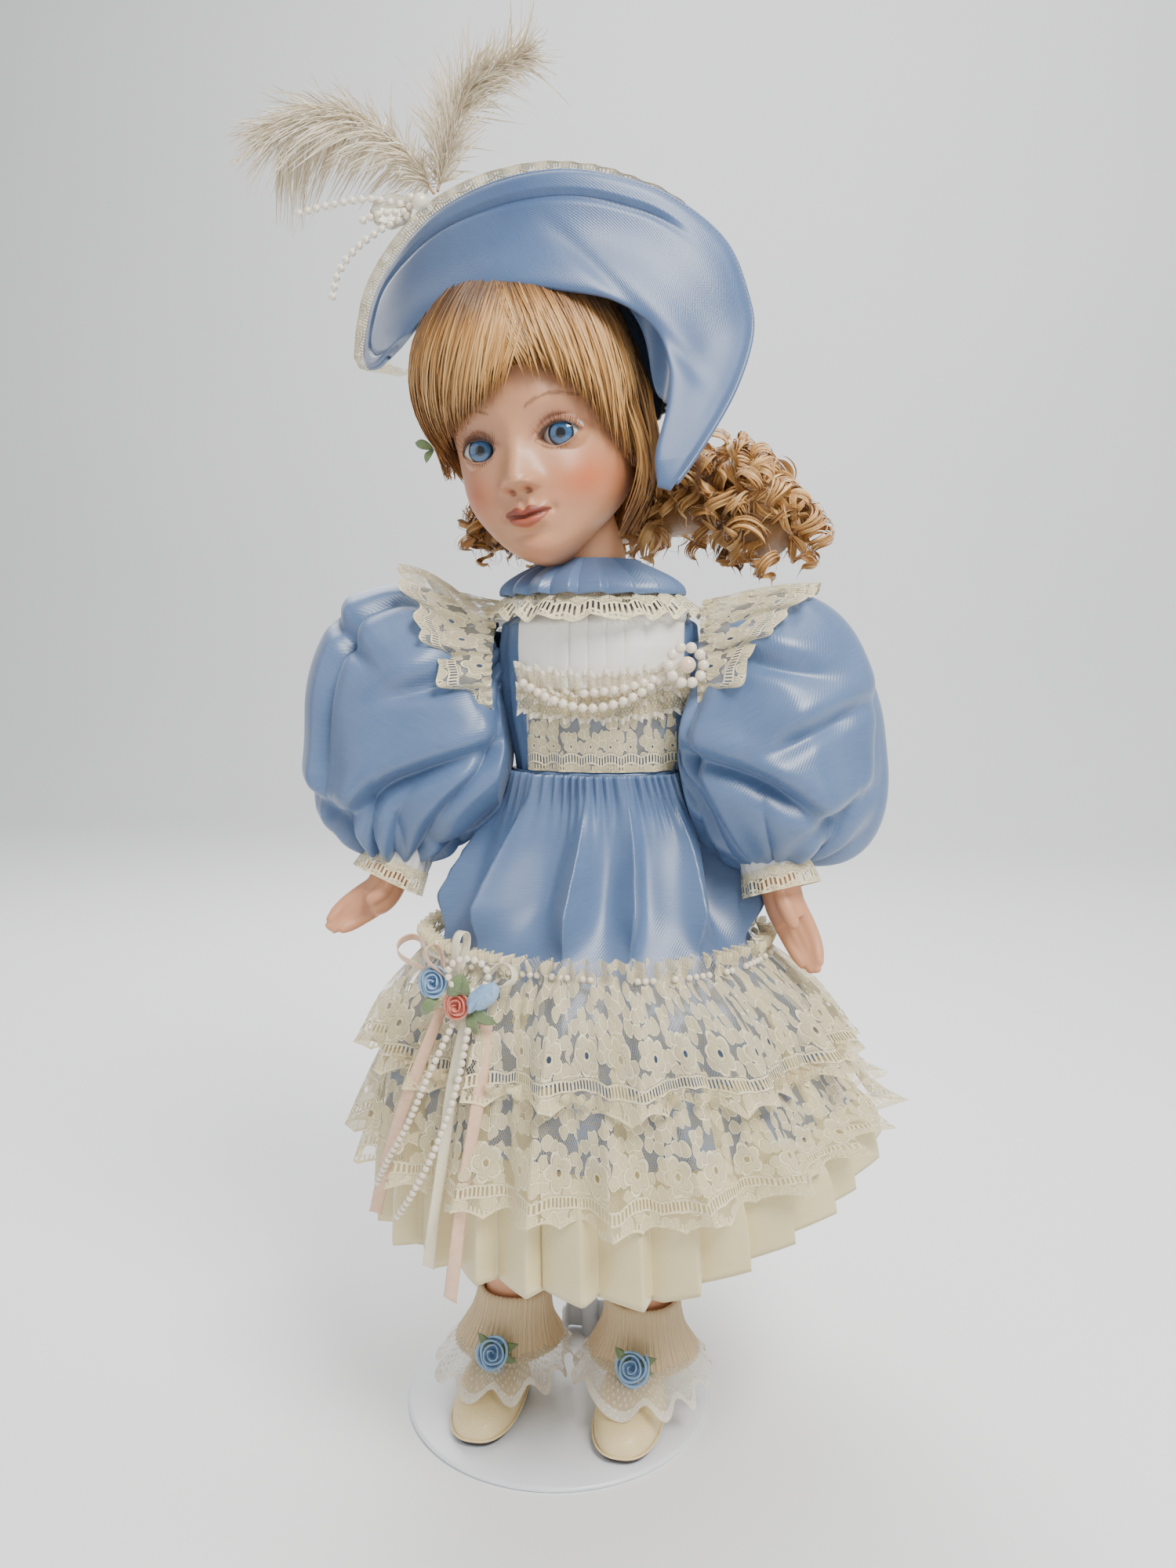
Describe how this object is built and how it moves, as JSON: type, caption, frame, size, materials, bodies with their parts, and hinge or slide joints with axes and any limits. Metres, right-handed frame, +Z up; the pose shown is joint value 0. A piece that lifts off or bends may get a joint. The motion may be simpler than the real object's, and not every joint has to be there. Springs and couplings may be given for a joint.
{
  "type": "porcelain doll on stand",
  "caption": "Collectible porcelain doll in a blue satin and cream lace dress and feathered bonnet, standing on a round metal base.",
  "frame": {"origin": "flat underside of the stand's round base, straight below the doll's neck", "axes": "+Z up through the doll, -Y the way the doll faces, +X to the doll's left hand"},
  "size_m": [0.225, 0.1694, 0.5028],
  "materials": {
    "paint_white": "satin white paint",
    "steel": "plain",
    "bisque": "matte tinted bisque",
    "muslin": "plain weave",
    "card": "pressed card",
    "glass_eye": "gloss",
    "hair": "golden blond synthetic fibre",
    "blue_satin": "satin",
    "white_satin": "satin",
    "cream_satin": "satin",
    "lace": "floral lace",
    "sock_knit": "rib knit",
    "shoe_cream": "smooth imitation leather",
    "sole_brown": "matte",
    "pearl": "pearlescent",
    "feather": "soft barbs",
    "peach_ribbon": "satin ribbon",
    "cream_ribbon": "satin ribbon",
    "ribbon_flowers": "ribbon roses in coral and blue"
  },
  "bodies": {
    "stand": {"stand_base": "paint_white", "stand_foot": "paint_white", "stand_post": "paint_white"},
    "rod": {"stand_rod": "steel", "grip_bracket": "steel"},
    "grip_left": {"grip_arm_left": "steel"},
    "grip_right": {"grip_arm_right": "steel"},
    "body": {"torso": "muslin", "shoulder_plate": "bisque", "bodice": "blue_satin", "collar": "blue_satin", "skirt": "blue_satin", "petticoat": "cream_satin", "lace_upper": "lace", "lace_lower": "lace", "brooch": "pearl", "chest_pearls": "pearl", "corsage": "ribbon_flowers", "ribbon_peach_long": "peach_ribbon", "ribbon_cream_long": "cream_ribbon", "ribbon_peach_short": "peach_ribbon", "pearl_tail_long": "pearl", "pearl_tail_short": "pearl"},
    "head": {"head": "bisque", "head_pate": "card", "eye_left": "glass_eye", "eye_right": "glass_eye", "wig": "hair", "bangs": "hair", "curls": "hair"},
    "hat": {"hat_brim": "blue_satin", "hat_crown": "blue_satin", "hat_ornament": "cream_ribbon", "feather_left": "feather", "feather_right": "feather", "pearl_spray_1": "pearl", "pearl_spray_2": "pearl"},
    "arm_left": {"upper_arm_left": "muslin", "forearm_left": "bisque", "sleeve_left": "blue_satin", "cuff_left": "white_satin", "shoulder_ruffle_left": "lace"},
    "arm_right": {"upper_arm_right": "muslin", "forearm_right": "bisque", "sleeve_right": "blue_satin", "cuff_right": "white_satin", "shoulder_ruffle_right": "lace"},
    "leg_left": {"upper_leg_left": "muslin", "lower_leg_left": "bisque", "pantaloon_left": "lace", "sock_left": "sock_knit", "shoe_left": "shoe_cream", "sole_left": "sole_brown"},
    "leg_right": {"upper_leg_right": "muslin", "lower_leg_right": "bisque", "pantaloon_right": "lace", "sock_right": "sock_knit", "shoe_right": "shoe_cream", "sole_right": "sole_brown"}
  },
  "joints": [
    {"name": "stand_height", "type": "slide", "parent": "stand", "child": "rod", "axis": [0, 0, 1], "range_m": [0, 0.05]},
    {"name": "grip_left_open", "type": "hinge", "parent": "rod", "child": "grip_left", "pos_m": [0.0015, 0.0222, 0.229], "axis": [0, 0, -1], "range_deg": [0, 9], "stiffness_Nm_per_rad": 0.2},
    {"name": "grip_right_open", "type": "hinge", "parent": "rod", "child": "grip_right", "pos_m": [0.0105, 0.0222, 0.229], "axis": [0, 0, 1], "range_deg": [0, 9], "stiffness_Nm_per_rad": 0.2},
    {"name": "doll_lift", "type": "slide", "parent": "rod", "child": "body", "axis": [0, 0, 1], "range_m": [0, 0.03]},
    {"name": "neck_turn", "type": "hinge", "parent": "body", "child": "head", "pos_m": [0.003, 0, 0.32], "axis": [0, 0, 1], "range_deg": [-25, 45], "deforming": ["curls"]},
    {"name": "hat_off", "type": "slide", "parent": "head", "child": "hat", "axis": [0, 0.5, 0.866], "range_m": [0, 0.08]},
    {"name": "arm_left_swing", "type": "hinge", "parent": "body", "child": "arm_left", "pos_m": [-0.032, 0, 0.296], "axis": [-1, 0, 0], "range_deg": [-15, 45]},
    {"name": "arm_right_swing", "type": "hinge", "parent": "body", "child": "arm_right", "pos_m": [0.044, 0, 0.296], "axis": [-1, 0, 0], "range_deg": [-15, 45]},
    {"name": "leg_left_swing", "type": "hinge", "parent": "body", "child": "leg_left", "pos_m": [-0.012, 0.001, 0.178], "axis": [-1, 0, 0], "range_deg": [0, 20]},
    {"name": "leg_right_swing", "type": "hinge", "parent": "body", "child": "leg_right", "pos_m": [0.021, 0.001, 0.178], "axis": [-1, 0, 0], "range_deg": [0, 20]}
  ]
}
